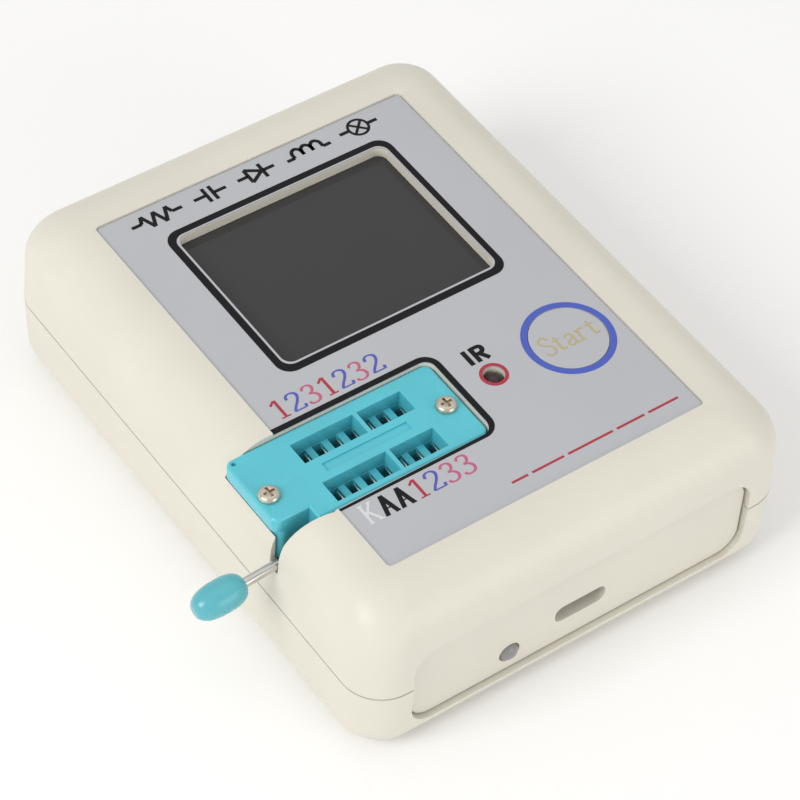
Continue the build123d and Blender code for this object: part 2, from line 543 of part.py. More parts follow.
slider_room_x1 = SLIDER_X1 + SLIDER_TRAVEL + 2 * SLIDER_GAP
cam_room_x0 = LEVER_X - CAM_R - CAM_OFFSET - 2 * CAM_GAP
cam_room_x1 = TAB_X + TAB_T + SLIDER_TRAVEL + 2 * CAM_GAP
cam_room_z0 = LEVER_Z - CAM_R - CAM_OFFSET - 2 * CAM_GAP

# base: block with a shallow room for the slider, a well for each contact and the shaft's bore
with BuildPart() as socket_base:
    lift(socket_outline(SOCKET_LEFT), SOCKET_BOTTOM, COVER_UNDER)
    block(SLIDER_X0 - 2 * SLIDER_GAP, slider_room_x1, SLIDER_Y0 - SLIDER_GAP, SLIDER_Y1 + SLIDER_GAP,
          SLIDER_UNDER - SLIDER_GAP, COVER_UNDER, Mode.SUBTRACT)
    block(cam_room_x0, cam_room_x1, CAM_Y0 - CAM_GAP, CAM_Y1 + CAM_GAP, cam_room_z0, COVER_UNDER,
          Mode.SUBTRACT)
    for slot in SLOTS:
        plate(SLOT_X, SLOT_Y, SOCKET_BOTTOM, SLIDER_UNDER, slot, mode=Mode.SUBTRACT)
    rod_along_y(LEVER_X, LEVER_Z, ROD_R + SHAFT_CLEARANCE, STEP_Y, SHAFT_END_Y + 0.3, Mode.SUBTRACT)
    rod_along_y(LEVER_X, LEVER_Z, BEND_RECESS_R, STEP_Y, STEP_Y + BEND_RECESS, Mode.SUBTRACT)
    post(COVER_SCREWS, COVER_SCREW_R, COVER_TOP - COVER_SCREW_LENGTH - 0.2, COVER_UNDER, Mode.SUBTRACT)
finish(socket_base, "socket_base")

# cover: flat top with two rows of windows, each parted by a bar into four and three slots
with BuildPart() as socket_cover:
    lift(socket_outline(COVER_LEFT), COVER_UNDER, COVER_TOP)
    chamfer(socket_cover.faces().sort_by(Axis.Z)[-1].edges(), COVER_EDGE)
    for row_y in SLOT_ROWS:
        for left, right in ROW_WINDOWS:
            block(left, right, row_y - ROW_WINDOW_Y / 2, row_y + ROW_WINDOW_Y / 2, COVER_UNDER,
                  COVER_TOP, Mode.SUBTRACT)
    plate(MARK_X, MARK_Y, COVER_TOP - MARK_DEPTH, COVER_TOP, MARK_CENTRE, mode=Mode.SUBTRACT)
    post([DIMPLE], DIMPLE_R, COVER_TOP - 2 * MARK_DEPTH, COVER_TOP, Mode.SUBTRACT)
    post(COVER_SCREWS, COVER_SCREW_R + PAD_GAP, COVER_UNDER, COVER_TOP, Mode.SUBTRACT)
finish(socket_cover, "socket_cover")

# slider: plate with a slot over each contact and a tab down beside the cam
with BuildPart() as socket_slider:
    block(SLIDER_X0, SLIDER_X1, SLIDER_Y0, SLIDER_Y1, SLIDER_UNDER, SLIDER_TOP)
    for slot in SLOTS:
        plate(SLOT_X, SLOT_Y, SLIDER_UNDER, SLIDER_TOP, slot, mode=Mode.SUBTRACT)
    block(TAB_X, SLIDER_X0, CAM_Y0, CAM_Y1, SLIDER_UNDER, SLIDER_TOP)
    block(TAB_X, TAB_X + TAB_T, CAM_Y0, CAM_Y1, TAB_BOTTOM, SLIDER_TOP)
finish(socket_slider, "socket_slider")

# fourteen contact strips, each with a shoulder in its well and a pin below
with BuildPart() as socket_contacts:
    for x, y in SLOTS:
        spot = (x + CONTACT_OFFSET, y)
        plate(CONTACT_T, CONTACT_W, SOCKET_BOTTOM, CONTACT_TOP, spot)
        plate(CONTACT_T, SLOT_Y, SOCKET_BOTTOM, SOCKET_BOTTOM + SHOULDER_H, spot)
        plate(CONTACT_T, PIN_W, PIN_BOTTOM, SOCKET_BOTTOM, spot)
finish(socket_contacts, "socket_contacts")

# two black strips that raise the socket off the board
with BuildPart() as socket_risers:
    riser_x0 = FIRST_SLOT_X - PITCH / 2
    riser_x1 = riser_x0 + COLUMNS * PITCH + PITCH / 2
    for row_y in SLOT_ROWS:
        block(riser_x0, riser_x1, row_y - RISER_W / 2, row_y + RISER_W / 2, BOARD_TOP, SOCKET_BOTTOM)
    for x, y in SLOTS:
        plate(CONTACT_T + 0.1, PIN_W + 0.1, PIN_BOTTOM - 0.3, SOCKET_BOTTOM,
              (x + CONTACT_OFFSET, y), mode=Mode.SUBTRACT)
finish(socket_risers, "socket_risers")

# two pan-head screws that hold the cover
with BuildPart() as cover_screws:
    post(COVER_SCREWS, COVER_HEAD_R, COVER_TOP, COVER_TOP + COVER_HEAD_H)
    fillet(cover_screws.faces().group_by(Axis.Z)[-1].edges(), COVER_HEAD_H * 0.7)
    post(COVER_SCREWS, COVER_SCREW_R - SCREW_SLACK, COVER_TOP - COVER_SCREW_LENGTH, COVER_TOP)
    cross_slots(COVER_SCREWS, COVER_HEAD_R * 1.15, 0.4, COVER_TOP + 0.3, COVER_TOP + COVER_HEAD_H)
finish(cover_screws, "cover_screws")

# ======== lever ========

arm = Vector(-cos(radians(LEVER_DROP)), 0, -sin(radians(LEVER_DROP)))
pivot = Vector(LEVER_X, LEVER_Y, LEVER_Z)
shaft_end = Vector(LEVER_X, SHAFT_END_Y, LEVER_Z)

# steel rod: a cross shaft in the base, bent once into the arm
with BuildPart() as lever_rod:
    with BuildLine():
        FilletPolyline(shaft_end, pivot, pivot + arm * ROD_LENGTH, radius=ROD_BEND_R)
    with BuildSketch(Plane(shaft_end, z_dir=(0, -1, 0))):
        Circle(ROD_R)
    sweep()
finish(lever_rod, "lever_rod")

# knob: a rounded grip with small flat ends, revolved about the arm
with BuildPart() as lever_knob:
    knob_plane = Plane(origin=pivot + arm * KNOB_START, x_dir=arm, z_dir=(0, -1, 0))
    with BuildSketch(knob_plane):
        with BuildLine():
            Line((0, 0), (0, KNOB_R * KNOB_END))
            Spline(*[(KNOB_LENGTH * along, KNOB_R * out) for along, out in KNOB_PROFILE])
            Line((KNOB_LENGTH, KNOB_R * KNOB_END), (KNOB_LENGTH, 0))
            Line((KNOB_LENGTH, 0), (0, 0))
        make_face()
    revolve(axis=Axis(knob_plane.origin, arm))
    with BuildSketch(Plane(origin=knob_plane.origin, z_dir=arm)):
        Circle(ROD_R)
    extrude(amount=ROD_LENGTH - KNOB_START, mode=Mode.SUBTRACT)
finish(lever_knob, "lever_knob")

# cam: an offset sleeve on the shaft that pushes the slider's tab
with BuildPart() as lever_cam:
    lobe = radians(CAM_ANGLE)
    rod_along_y(LEVER_X + CAM_OFFSET * cos(lobe), LEVER_Z + CAM_OFFSET * sin(lobe), CAM_R, CAM_Y0, CAM_Y1)
    rod_along_y(LEVER_X, LEVER_Z, ROD_R, CAM_Y0, CAM_Y1, Mode.SUBTRACT)
finish(lever_cam, "lever_cam")
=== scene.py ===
from math import cos, pi, radians, sin

import bmesh
import bpy
from mathutils import Matrix, Vector


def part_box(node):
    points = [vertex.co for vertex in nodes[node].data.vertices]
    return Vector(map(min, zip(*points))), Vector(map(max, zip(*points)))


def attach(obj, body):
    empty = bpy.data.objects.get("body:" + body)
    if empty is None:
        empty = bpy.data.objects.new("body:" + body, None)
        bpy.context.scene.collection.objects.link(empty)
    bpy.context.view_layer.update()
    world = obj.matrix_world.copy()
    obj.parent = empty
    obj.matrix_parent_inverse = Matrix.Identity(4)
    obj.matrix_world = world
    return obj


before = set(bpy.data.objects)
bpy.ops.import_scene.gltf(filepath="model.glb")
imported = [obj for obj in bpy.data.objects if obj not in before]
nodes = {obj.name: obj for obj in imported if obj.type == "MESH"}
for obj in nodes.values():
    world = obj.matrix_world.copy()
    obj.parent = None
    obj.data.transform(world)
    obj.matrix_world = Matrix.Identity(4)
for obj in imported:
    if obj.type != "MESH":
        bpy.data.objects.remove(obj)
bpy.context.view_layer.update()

MM = 0.001


# ---------------------------------------------------------------- camera
AZIMUTH, ELEVATION, ROLL = radians(-38.2), radians(48.49), radians(4.153)
CAMERA_AT = Vector((-187.07, -240.05, 353.38)) * MM
LENS = 147.26


def make_camera():
    back = Vector((sin(AZIMUTH) * cos(ELEVATION), -cos(AZIMUTH) * cos(ELEVATION), sin(ELEVATION)))
    level = Vector((cos(AZIMUTH), sin(AZIMUTH), 0.0))
    upright = back.cross(level)
    right = cos(ROLL) * level + sin(ROLL) * upright
    up = -sin(ROLL) * level + cos(ROLL) * upright
    data = bpy.data.cameras.new("camera")
    data.lens = LENS
    data.sensor_width = 36.0
    data.clip_start = 0.01
    camera = bpy.data.objects.new("camera", data)
    bpy.context.scene.collection.objects.link(camera)
    camera.matrix_world = Matrix.Translation(CAMERA_AT) @ Matrix((right, up, back)).transposed().to_4x4()
    bpy.context.scene.camera = camera


# ---------------------------------------------------------------- studio
LIGHTS = [
    # name, place, size, watts, colour
    ("left_key", (-0.75, -0.05, 0.60), 0.45, 3.7, (1.0, 0.99, 0.975)),
    ("top_fill", (0.10, 0.10, 0.80), 0.70, 0.5, (1.0, 1.0, 1.0)),
    ("front_fill", (0.25, -0.75, 0.22), 0.50, 1.3, (1.0, 0.98, 0.965)),
]


def make_lights():
    for name, place, size, watts, colour in LIGHTS:
        data = bpy.data.lights.new(name, "AREA")
        data.size = size
        data.energy = watts
        data.color = colour
        light = bpy.data.objects.new(name, data)
        bpy.context.scene.collection.objects.link(light)
        light.location = place
        aim = Vector((0.0, 0.0, 0.015)) - Vector(place)
        light.rotation_euler = aim.to_track_quat("-Z", "Y").to_euler()
    world = bpy.data.worlds.new("studio")
    world.use_nodes = True
    sky = world.node_tree.nodes["Background"]
    sky.inputs["Color"].default_value = (1.0, 0.995, 0.985, 1.0)
    sky.inputs["Strength"].default_value = 0.66
    bpy.context.scene.world = world
    bpy.context.scene.view_settings.view_transform = "Standard"


def make_floor():
    mesh = bpy.data.meshes.new("floor")
    half = 4.0
    drop = -0.05 * MM   # just under the base, so that the two never coincide
    mesh.from_pydata([(-half, -half, drop), (half, -half, drop), (half, half, drop), (-half, half, drop)],
                     [], [(0, 1, 2, 3)])
    floor = bpy.data.objects.new("floor", mesh)
    bpy.context.scene.collection.objects.link(floor)
    material = bpy.data.materials.new("floor_paper")
    material.use_nodes = True
    shader = material.node_tree.nodes["Principled BSDF"]
    shader.inputs["Base Color"].default_value = (0.99, 0.99, 0.99, 1.0)
    shader.inputs["Roughness"].default_value = 0.9
    shader.inputs["Specular IOR Level"].default_value = 0.1
    mesh.materials.append(material)


# ---------------------------------------------------------------- materials
def new_material(name):
    material = bpy.data.materials.new(name)
    material.use_nodes = True
    tree = material.node_tree
    return material, tree, tree.nodes["Principled BSDF"]


def noise(tree, scale, detail=3.0, rough=0.55):
    """Noise in object space; scale is in cycles per millimetre."""
    coordinates = tree.nodes.new("ShaderNodeTexCoord")
    texture = tree.nodes.new("ShaderNodeTexNoise")
    texture.inputs["Scale"].default_value = scale / MM
    texture.inputs["Detail"].default_value = detail
    texture.inputs["Roughness"].default_value = rough
    tree.links.new(coordinates.outputs["Object"], texture.inputs["Vector"])
    return texture.outputs["Fac"]


def ramp(tree, source, low, high, start=0.3, end=0.7):
    """Colour or value that goes from low to high as source goes from start to end."""
    node = tree.nodes.new("ShaderNodeValToRGB")
    node.color_ramp.elements[0].position = start
    node.color_ramp.elements[1].position = end
    node.color_ramp.elements[0].color = (*low, 1.0)
    node.color_ramp.elements[1].color = (*high, 1.0)
    tree.links.new(source, node.inputs["Fac"])
    return node.outputs["Color"]


def span(tree, source, low, high, start=0.3, end=0.7):
    node = tree.nodes.new("ShaderNodeMapRange")
    node.inputs["From Min"].default_value = start
    node.inputs["From Max"].default_value = end
    node.inputs["To Min"].default_value = low
    node.inputs["To Max"].default_value = high
    tree.links.new(source, node.inputs["Value"])
    return node.outputs["Result"]


def bump(tree, shader, source, strength, height):
    node = tree.nodes.new("ShaderNodeBump")
    node.inputs["Strength"].default_value = strength
    node.inputs["Distance"].default_value = height * MM
    tree.links.new(source, node.inputs["Height"])
    tree.links.new(node.outputs["Normal"], shader.inputs["Normal"])


def shade(colour, amount):
    return tuple(channel * amount for channel in colour)


def plastic(name, colour, roughness, grain=3.0, depth=0.01, variation=0.04, specular=0.5, coat=0.0):
    """Moulded plastic: faint mottling, a fine satin grain and uneven gloss."""
    material, tree, shader = new_material(name)
    broad = noise(tree, 0.06, 4.0)
    tree.links.new(ramp(tree, broad, shade(colour, 1 - variation), shade(colour, 1 + variation / 2)),
                   shader.inputs["Base Color"])
    fine = noise(tree, grain, 2.0)
    tree.links.new(span(tree, fine, roughness * 0.85, roughness * 1.15), shader.inputs["Roughness"])
    bump(tree, shader, fine, 0.35, depth)
    shader.inputs["Specular IOR Level"].default_value = specular
    shader.inputs["Coat Weight"].default_value = coat
    shader.inputs["Coat Roughness"].default_value = 0.12
    return material


def metal(name, colour, roughness, grain=2.0, depth=0.004):
    """Plated metal with fine scratches and cloudy gloss."""
    material, tree, shader = new_material(name)
    cloud = noise(tree, 0.5, 4.0)
    tree.links.new(ramp(tree, cloud, shade(colour, 0.85), colour), shader.inputs["Base Color"])
    tree.links.new(span(tree, cloud, roughness * 0.7, roughness * 1.4), shader.inputs["Roughness"])
    bump(tree, shader, noise(tree, grain, 3.0), 0.3, depth)
    shader.inputs["Metallic"].default_value = 1.0
    return material


def lens(name, colour, roughness, transmission, ior=1.5):
    """Cast epoxy or glass, a little cloudy."""
    material, tree, shader = new_material(name)
    cloud = noise(tree, 0.4, 3.0)
    tree.links.new(ramp(tree, cloud, shade(colour, 0.93), colour), shader.inputs["Base Color"])
    tree.links.new(span(tree, cloud, roughness * 0.6, roughness * 1.4), shader.inputs["Roughness"])
    shader.inputs["Transmission Weight"].default_value = transmission
    shader.inputs["IOR"].default_value = ior
    return material


def circuit_board(name):
    """Green solder mask with faint tracks under it."""
    material, tree, shader = new_material(name)
    coordinates = tree.nodes.new("ShaderNodeTexCoord")
    cells = tree.nodes.new("ShaderNodeTexVoronoi")
    cells.distance = "MANHATTAN"
    cells.inputs["Scale"].default_value = 0.45 / MM
    tree.links.new(coordinates.outputs["Object"], cells.inputs["Vector"])
    track_colour = ramp(tree, cells.outputs["Distance"], (0.01, 0.10, 0.04), (0.012, 0.17, 0.06), 0.2, 0.25)
    tree.links.new(track_colour, shader.inputs["Base Color"])
    tree.links.new(span(tree, noise(tree, 1.0), 0.25, 0.4), shader.inputs["Roughness"])
    bump(tree, shader, cells.outputs["Distance"], 0.2, 0.02)
    return material


CREAM = (0.73, 0.70, 0.61)
TEAL = (0.10, 0.555, 0.655)
TEAL_KNOB = (0.10, 0.46, 0.53)
GREY_PRINT = (0.485, 0.495, 0.525)

case_plastic = plastic("case_plastic", CREAM, 0.42, grain=2.2, depth=0.012, variation=0.03)
panel_plastic = plastic("panel_plastic", shade(CREAM, 0.98), 0.38, grain=2.8, depth=0.01, variation=0.03)
teal_plastic = plastic("teal_plastic", TEAL, 0.33, grain=4.0, depth=0.006, variation=0.08, coat=0.1)
teal_knob = plastic("teal_knob", TEAL_KNOB, 0.28, grain=1.5, depth=0.006, variation=0.06, coat=0.25)
teal_slider = plastic("teal_slider", shade(TEAL, 0.95), 0.35, grain=4.0, depth=0.006, variation=0.08)
white_plastic = plastic("white_plastic", (0.78, 0.78, 0.75), 0.4)
black_plastic = plastic("black_plastic", (0.02, 0.02, 0.021), 0.4)
label_film = plastic("label_film", GREY_PRINT, 0.34, grain=6.0, depth=0.003, variation=0.02)
print_black = plastic("print_black", (0.012, 0.012, 0.014), 0.45, grain=6.0, depth=0.003, specular=0.12)
print_red = plastic("print_red", (0.43, 0.025, 0.045), 0.4, grain=6.0, depth=0.003)
print_pink = plastic("print_pink", (0.53, 0.11, 0.20), 0.4, grain=6.0, depth=0.003)
print_blue = plastic("print_blue", (0.075, 0.10, 0.45), 0.4, grain=6.0, depth=0.003)
print_pale = plastic("print_pale", (0.68, 0.69, 0.71), 0.4, grain=6.0, depth=0.003)
print_gold = plastic("print_gold", (0.50, 0.42, 0.21), 0.4, grain=6.0, depth=0.003)
ring_blue = plastic("ring_blue", (0.065, 0.11, 0.52), 0.35, grain=6.0, depth=0.003)
steel = metal("steel", (0.68, 0.67, 0.64), 0.22)
screw_steel = metal("screw_steel", (0.74, 0.66, 0.55), 0.27, grain=3.0, depth=0.01)
contact_metal = metal("contact_metal", (0.80, 0.78, 0.72), 0.25)
can_metal = metal("can_metal", (0.75, 0.75, 0.75), 0.3)
foil = metal("foil", (0.74, 0.75, 0.77), 0.35, grain=0.6, depth=0.03)
tape_foam = plastic("tape_foam", (0.80, 0.80, 0.77), 0.8, grain=1.5, depth=0.05)
wire_rubber = plastic("wire_rubber", (0.45, 0.02, 0.02), 0.5)
board_green = circuit_board("board_green")
display_dark = plastic("display_dark", (0.036, 0.036, 0.037), 0.12, grain=0.1, depth=0.0005, variation=0.03)
receiver_dark = plastic("receiver_dark", (0.03, 0.010, 0.009), 0.14, grain=1.0, depth=0.001, coat=0.2)
lamp_epoxy = lens("lamp_epoxy", (0.50, 0.48, 0.47), 0.08, 0.45)

FINISH = {
    "upper_shell": case_plastic, "lower_shell": case_plastic, "front_panel": panel_plastic,
    "case_screws": screw_steel, "face_label": label_film, "start_pad": label_film,
    "start_key": white_plastic, "switch_body": black_plastic, "switch_stem": white_plastic,
    "display_glass": display_dark, "display_frame": white_plastic, "display_board": board_green,
    "display_screws": screw_steel, "display_header": black_plastic, "main_board": board_green,
    "board_screws": screw_steel, "microcontroller": black_plastic, "crystal": can_metal,
    "inductor": black_plastic, "capacitors": can_metal, "charger_chip": black_plastic,
    "chip_parts": black_plastic, "usb_shell": steel, "usb_tongue": black_plastic,
    "charge_lamp": lamp_epoxy, "lamp_leads": steel, "ir_receiver": receiver_dark, "ir_leads": steel,
    "battery_tape": tape_foam, "battery": foil, "battery_plug": white_plastic,
    "battery_wires": wire_rubber, "socket_base": teal_plastic, "socket_cover": teal_plastic,
    "socket_slider": teal_slider, "socket_contacts": contact_metal, "socket_risers": black_plastic,
    "cover_screws": screw_steel, "lever_rod": steel, "lever_knob": teal_knob, "lever_cam": teal_slider,
}


# ---------------------------------------------------------------- CAD pieces: rounded edges
EDGE = {   # bevel width in millimetres
    "upper_shell": 0.18, "lower_shell": 0.18, "front_panel": 0.1, "socket_cover": 0.1,
    "socket_base": 0.12, "socket_slider": 0.06, "socket_contacts": 0.04, "cover_screws": 0.07,
    "case_screws": 0.08, "start_pad": 0.04, "face_label": 0.03, "usb_shell": 0.05, "display_glass": 0.1,
    "lever_rod": 0.12, "lever_knob": 0.0,
}


def smooth_by_angle(limit):
    """Node group that shades faces smooth and keeps every edge sharper than the limit crisp."""
    group = bpy.data.node_groups.new("smooth_by_angle", "GeometryNodeTree")
    group.interface.new_socket("Geometry", in_out="INPUT", socket_type="NodeSocketGeometry")
    group.interface.new_socket("Geometry", in_out="OUTPUT", socket_type="NodeSocketGeometry")
    start = group.nodes.new("NodeGroupInput")
    end = group.nodes.new("NodeGroupOutput")
    faces = group.nodes.new("GeometryNodeSetShadeSmooth")
    faces.domain = "FACE"
    edges = group.nodes.new("GeometryNodeSetShadeSmooth")
    edges.domain = "EDGE"
    edges.inputs["Shade Smooth"].default_value = False
    angle = group.nodes.new("GeometryNodeInputMeshEdgeAngle")
    sharper = group.nodes.new("FunctionNodeCompare")
    sharper.operation = "GREATER_THAN"
    sharper.inputs["B"].default_value = limit
    group.links.new(angle.outputs["Unsigned Angle"], sharper.inputs["A"])
    group.links.new(sharper.outputs["Result"], edges.inputs["Selection"])
    group.links.new(start.outputs["Geometry"], faces.inputs["Geometry"])
    group.links.new(faces.outputs["Geometry"], edges.inputs["Geometry"])
    group.links.new(edges.outputs["Geometry"], end.inputs["Geometry"])
    return group


def finish_cad_nodes():
    smoothing = smooth_by_angle(radians(50))
    for name, part in nodes.items():
        for slot in part.material_slots:
            slot.material = FINISH[name]
        weld = part.modifiers.new("weld", "WELD")
        weld.merge_threshold = 0.0005 * MM
        width = EDGE.get(name, 0.05)
        if width:
            bevel = part.modifiers.new("bevel", "BEVEL")
            bevel.width = width * MM
            bevel.segments = 2
            bevel.limit_method = "ANGLE"
            bevel.angle_limit = radians(32)
        part.modifiers.new("smooth", "NODES").node_group = smoothing
        normals = part.modifiers.new("normals", "WEIGHTED_NORMAL")
        normals.keep_sharp = True


# ---------------------------------------------------------------- printing on the label
LABEL_LOW, LABEL_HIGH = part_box("face_label")
PRINT_Z = LABEL_HIGH.z / MM
INK = 0.03
LAYER = 0.004   # crossing strokes stand at slightly different heights


def mesh_piece(name, bm, material, body="case"):
    bmesh.ops.recalc_face_normals(bm, faces=bm.faces)
    mesh = bpy.data.meshes.new(name)
    bm.to_mesh(mesh)
    bm.free()
    mesh.materials.append(material)
    piece = bpy.data.objects.new(name, mesh)
    bpy.context.scene.collection.objects.link(piece)
    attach(piece, body)
    return piece


def rounded_loop(x0, x1, y0, y1, radius, steps=8):
    points = []
    for cx, cy, start in ((x1 - radius, y1 - radius, 0), (x0 + radius, y1 - radius, 90),
                          (x0 + radius, y0 + radius, 180), (x1 - radius, y0 + radius, 270)):
        for step in range(steps + 1):
            turn = radians(start + 90 * step / steps)
            points.append((cx + radius * cos(turn), cy + radius * sin(turn)))
    return points


def circle_loop(cx, cy, radius, steps=96):
    turns = [2 * pi * k / steps for k in range(steps)]
    return [(cx + radius * cos(turn), cy + radius * sin(turn)) for turn in turns]


def add_band(bm, outer, inner, closed=True, low=PRINT_Z, ink=INK):
    """A thin printed band between two matching outlines."""
    rings = []
    for outline in (outer, inner):
        for z in (low + ink, low):
            rings.append([bm.verts.new((x * MM, y * MM, z * MM)) for x, y in outline])
    count = len(outer)
    for k in range(count if closed else count - 1):
        n = (k + 1) % count
        for a, b in ((rings[0], rings[2]), (rings[0], rings[1]), (rings[2], rings[3])):
            bm.faces.new((a[k], a[n], b[n], b[k]))
    if not closed:
        for end in (0, count - 1):
            bm.faces.new((rings[0][end], rings[2][end], rings[3][end], rings[1][end]))


def add_bar(bm, x0, x1, y0, y1, ink=INK):
    add_band(bm, [(x0, y0), (x1, y0)], [(x0, y1), (x1, y1)], closed=False, ink=ink)


def smooth_line(points, steps=7):
    """Catmull-Rom line through the points."""
    if len(points) == 2:
        return points
    ends = [points[0]] + points + [points[-1]]
    line = []
    for a, b, c, d in zip(ends, ends[1:], ends[2:], ends[3:]):
        for step in range(steps):
            t = step / steps
            line.append(tuple(
                0.5 * (2 * b[i] + (c[i] - a[i]) * t + (2 * a[i] - 5 * b[i] + 4 * c[i] - d[i]) * t * t
                       + (3 * b[i] - a[i] - 3 * c[i] + d[i]) * t ** 3) for i in (0, 1)))
    line.append(points[-1])
    return line


def add_stroke(bm, points, thin, thick, curved=True, ink=INK):
    """A pen stroke: thick where it runs up or down, thin where it runs across."""
    line = smooth_line(points) if curved else points
    left, right = [], []
    for k, (x, y) in enumerate(line):
        ax, ay = line[max(k - 1, 0)]
        bx, by = line[min(k + 1, len(line) - 1)]
        run = Vector((bx - ax, by - ay)).normalized()
        half = (thin + (thick - thin) * abs(run.y)) / 2
        left.append((x - run.y * half, y + run.x * half))
        right.append((x + run.y * half, y - run.x * half))
    add_band(bm, left, right, closed=False, ink=ink)


GLYPHS = {   # strokes in a box one unit high; "s" is a straight stroke, "c" a curved one
    "1": [("s", (.10, .80), (.33, .99)), ("s", (.36, 1), (.36, 0)), ("s", (.16, .02), (.56, .02))],
    "2": [("c", (.07, .74), (.13, .92), (.31, .99), (.50, .91), (.54, .74), (.42, .50), (.20, .25),
           (.06, .04)),
          ("s", (.05, .04), (.57, .04)), ("s", (.56, .03), (.61, .2))],
    "3": [("c", (.08, .82), (.17, .95), (.32, .99), (.48, .92), (.51, .76), (.42, .60), (.25, .54)),
          ("c", (.25, .54), (.46, .46), (.56, .27), (.48, .08), (.29, .01), (.12, .05), (.06, .16))],
    "K": [("s", (.13, 0), (.13, 1)), ("s", (.02, .985), (.25, .985)), ("s", (.02, .015), (.25, .015)),
          ("s", (.54, .98), (.15, .42)), ("s", (.27, .57), (.58, .01)), ("s", (.44, .985), (.62, .985)),
          ("s", (.46, .015), (.68, .015))],
    "A": [("s", (.10, 0), (.34, 1)), ("s", (.33, 1), (.56, 0)), ("s", (.18, .33), (.49, .33)),
          ("s", (.02, .015), (.20, .015)), ("s", (.46, .015), (.66, .015))],
    "S": [("c", (.52, .80), (.43, .95), (.28, 1), (.12, .90), (.11, .72), (.29, .54), (.48, .40), (.53, .2),
           (.42, .04), (.26, 0), (.12, .06), (.06, .2))],
    "I": [("s", (.12, 0), (.12, 1))],
    "a": [("c", (.09, .50), (.20, .62), (.34, .60), (.41, .46), (.41, .10), (.46, .02), (.54, .05)),
          ("c", (.41, .36), (.22, .31), (.09, .21), (.08, .07), (.20, 0), (.33, .06), (.41, .17))],
    "r": [("s", (.15, .62), (.15, 0)), ("s", (.04, .61), (.15, .61)), ("s", (.04, .015), (.28, .015)),
          ("c", (.15, .42), (.25, .57), (.38, .62), (.47, .54))],
    "t": [("c", (.23, .80), (.23, .14), (.30, .01), (.45, .07)), ("s", (.07, .61), (.43, .61))],
    "bold R": [("s", (.12, 0), (.12, 1)),
               ("c", (.12, .91), (.45, .91), (.60, .86), (.65, .71), (.58, .56), (.42, .50), (.12, .49)),
               ("s", (.36, .50), (.66, .0))],
}


def add_glyph(bm, glyph, x, y, height, thin, thick, widen=1.0):
    for layer, (kind, *points) in enumerate(GLYPHS[glyph]):
        placed = [(x + px * height * widen, y + py * height) for px, py in points]
        add_stroke(bm, placed, thin, thick, curved=kind == "c", ink=INK + layer * LAYER)


def printed_text(name, glyphs, x, y, height, pitch, thin, thick, material, widen=1.0, body="case"):
    bm = bmesh.new()
    for k, glyph in enumerate(glyphs):
        if glyph != " ":
            add_glyph(bm, glyph, x + k * pitch, y, height, thin, thick, widen)
    return mesh_piece(name, bm, material, body)


PIN_PITCH = 2.54
PIN_LEFT = -24.35
REAR_ROW_Y, FRONT_ROW_Y = -7.9, -29.0
DIGIT_H, DIGIT_THIN, DIGIT_THICK, DIGIT_BOLD = 3.3, 0.2, 0.42, 0.66


def print_pin_rows():
    inks = {
        "red": print_red, "blue": print_blue, "pink": print_pink, "black": print_black, "pale": print_pale,
    }
    rows = {
        "rear": (REAR_ROW_Y, {"red": "1  1   ", "blue": " 2  2 2", "pink": "  3  3 "}),
        "front": (FRONT_ROW_Y, {"pale": "K      ", "black": " AA    ", "red": "   1   ",
                                "blue": "    2  ", "pink": "     33"}),
    }
    for row, (y, colours) in rows.items():
        for colour, glyphs in colours.items():
            thick = DIGIT_BOLD if colour == "black" else DIGIT_THICK
            printed_text(f"pin_marks_{row}_{colour}", glyphs, PIN_LEFT, y, DIGIT_H, PIN_PITCH, DIGIT_THIN,
                         thick, inks[colour], widen=1.05)


WINDOW_BORDER_OUTER = (-19.4, 18.1, -1.8, 28.95, 2.3)    # left, right, front, rear, corner radius
WINDOW_BORDER_INNER = (-18.3, 17.15, -0.6, 27.9, 1.7)
SOCKET_BORDER_R = 2.5       # outer corner radius
SOCKET_BORDER_X = -2.9      # centre of both corners
SOCKET_BORDER_SIDE = 0.93   # width along the right side
SOCKET_BORDER_REAR = (-11.15, 0.93, 90)    # corner centre, width, first angle
SOCKET_BORDER_FRONT = (-22.6, 0.58, 0)
SOCKET_BORDER_END = -24.68  # inner edge at the label's edge, where the opening slants
CORNER_STEPS = 8


def print_borders():
    bm = bmesh.new()
    add_band(bm, rounded_loop(*WINDOW_BORDER_OUTER), rounded_loop(*WINDOW_BORDER_INNER))
    mesh_piece("window_border", bm, print_black)
    bm = bmesh.new()
    add_socket_band(bm)
    mesh_piece("socket_border", bm, print_black)


def add_socket_band(bm):
    """Border round the socket, open at the label's left edge."""
    left = LABEL_LOW.x / MM + 0.02
    rear_y, rear_width, _first_angle = SOCKET_BORDER_REAR
    outer = [(left, rear_y + SOCKET_BORDER_R)]
    inner = [(left, rear_y + SOCKET_BORDER_R - rear_width)]
    inner_x = SOCKET_BORDER_R - SOCKET_BORDER_SIDE
    for centre_y, width, start in (SOCKET_BORDER_REAR, SOCKET_BORDER_FRONT):
        for step in range(CORNER_STEPS + 1):
            turn = radians(start - 90 * step / CORNER_STEPS)
            inner_y = SOCKET_BORDER_R - width
            across, along = cos(turn), sin(turn)
            outer.append((SOCKET_BORDER_X + SOCKET_BORDER_R * across, centre_y + SOCKET_BORDER_R * along))
            inner.append((SOCKET_BORDER_X + inner_x * across, centre_y + inner_y * along))
    outer.append((left, SOCKET_BORDER_FRONT[0] - SOCKET_BORDER_R))
    inner.append((left, SOCKET_BORDER_END))
    add_band(bm, outer, inner, closed=False)


START_X, START_Y = 16.95, -16.7
START_RING_OUTER, START_RING_INNER = 6.6, 5.66
RECEIVER_X, RECEIVER_Y = 4.45, -16.6
RECEIVER_RING_OUTER, RECEIVER_RING_INNER = 2.03, 1.52


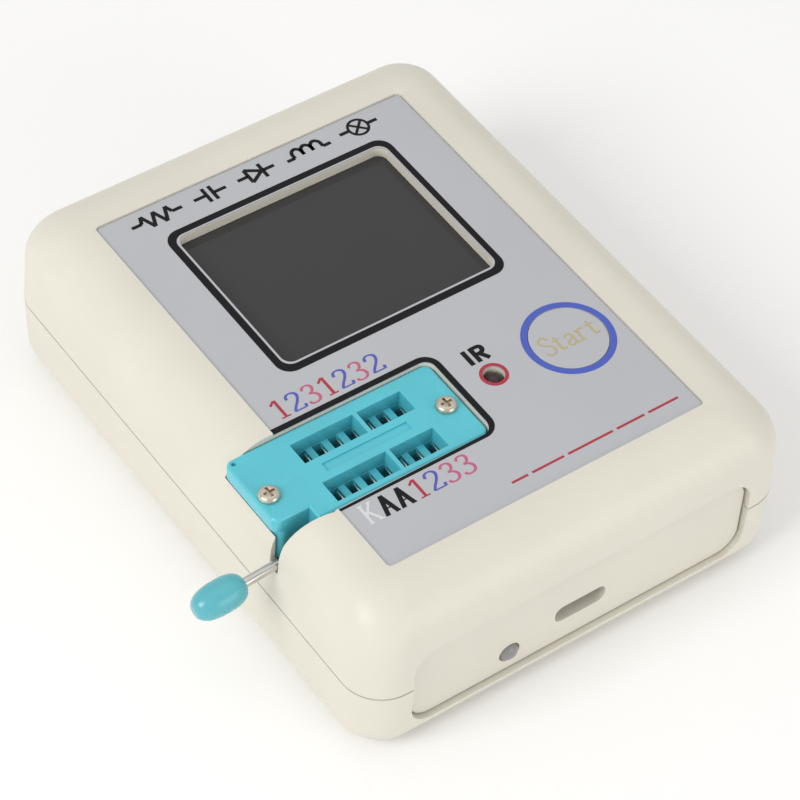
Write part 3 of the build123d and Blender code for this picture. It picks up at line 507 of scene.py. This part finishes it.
def printed_ring(name, x, y, outer, inner, material):
    bm = bmesh.new()
    add_band(bm, circle_loop(x, y, outer), circle_loop(x, y, inner))
    return mesh_piece(name, bm, material)


def print_button():
    printed_ring("start_ring", START_X, START_Y, START_RING_OUTER, START_RING_INNER, ring_blue)
    printed_ring("receiver_ring", RECEIVER_X, RECEIVER_Y, RECEIVER_RING_OUTER, RECEIVER_RING_INNER,
                 print_red)
    printed_text("start_word", "Start", START_X - 4.45, START_Y - 1.4, 3.3, 1.85, 0.16, 0.33, print_gold,
                 body="start_key")
    printed_text("receiver_word", ["I", "bold R"], RECEIVER_X - 1.65, RECEIVER_Y + 2.8, 2.8, 1.2, 0.56, 0.7,
                 print_black)


SYMBOL_Y, SYMBOL_WIDTH = 32.4, 0.55
DASH_LEFT, DASH_Y, DASH_WIDTH, DASH_GAP = -4.8, -33.4, 0.35, 0.7
DASH_LENGTHS = (2.6, 5.2, 7.4, 4.6, 5.0)


def print_symbols():
    """A row of plain circuit symbols across the top of the label."""
    bm = bmesh.new()
    y, width = SYMBOL_Y, SYMBOL_WIDTH

    def line(*points):
        for layer, (a, b) in enumerate(zip(points, points[1:])):
            add_stroke(bm, [a, b], width, width, curved=False, ink=INK + LAYER * (layer % 3))

    # resistor
    line((-22.0, y), (-20.4, y))
    zigzag = [(-19.9 + k, y + (1.3 if k % 2 == 0 else -1.3)) for k in range(5)]
    line((-20.4, y), *zigzag, (-15.4, y))
    line((-15.4, y), (-13.8, y))
    # capacitor
    line((-11.8, y), (-9.9, y))
    line((-9.7, y + 1.45), (-9.7, y - 1.45))
    line((-8.6, y + 1.45), (-8.6, y - 1.45))
    line((-8.4, y), (-6.5, y))
    # diode
    line((-4.5, y), (-2.8, y))
    line((-2.7, y + 1.35), (-2.7, y - 1.35), (-0.5, y), (-2.7, y + 1.35))
    line((-0.3, y + 1.45), (-0.3, y - 1.45))
    line((-0.2, y), (1.6, y))
    # coil
    line((3.6, y - 0.5), (4.9, y - 0.5))
    for k in range(3):
        x = 4.9 + k * 1.6
        loop = [(x, y - 0.5), (x + 0.1, y + 0.6), (x + 0.8, y + 1.1), (x + 1.5, y + 0.6), (x + 1.6, y - 0.5)]
        add_stroke(bm, loop, width, width)
    line((9.7, y - 0.5), (11.0, y - 0.5))
    # lamp: a circle with a cross
    lamp_x, lamp_r, arm, thin = 16.1, 1.75, 1.05, 0.4
    line((12.9, y), (lamp_x - lamp_r, y))
    add_band(bm, circle_loop(lamp_x, y, lamp_r, 40), circle_loop(lamp_x, y, lamp_r - thin, 40))
    for side in (-1, 1):
        cross = [(lamp_x - arm, y - side * arm), (lamp_x + arm, y + side * arm)]
        add_stroke(bm, cross, thin, thin, curved=False, ink=INK + LAYER * (side + 2))
    line((lamp_x + lamp_r, y), (19.3, y))
    mesh_piece("symbol_row", bm, print_black)
    # red dashes above the charging end
    bm = bmesh.new()
    x = DASH_LEFT
    for length in DASH_LENGTHS:
        add_bar(bm, x, x + length, DASH_Y, DASH_Y + DASH_WIDTH)
        x += length + DASH_GAP
    mesh_piece("red_dashes", bm, print_red)


# ---------------------------------------------------------------- build
make_camera()
make_lights()
make_floor()
finish_cad_nodes()
print_borders()
print_pin_rows()
print_button()
print_symbols()

bpy.context.view_layer.update()
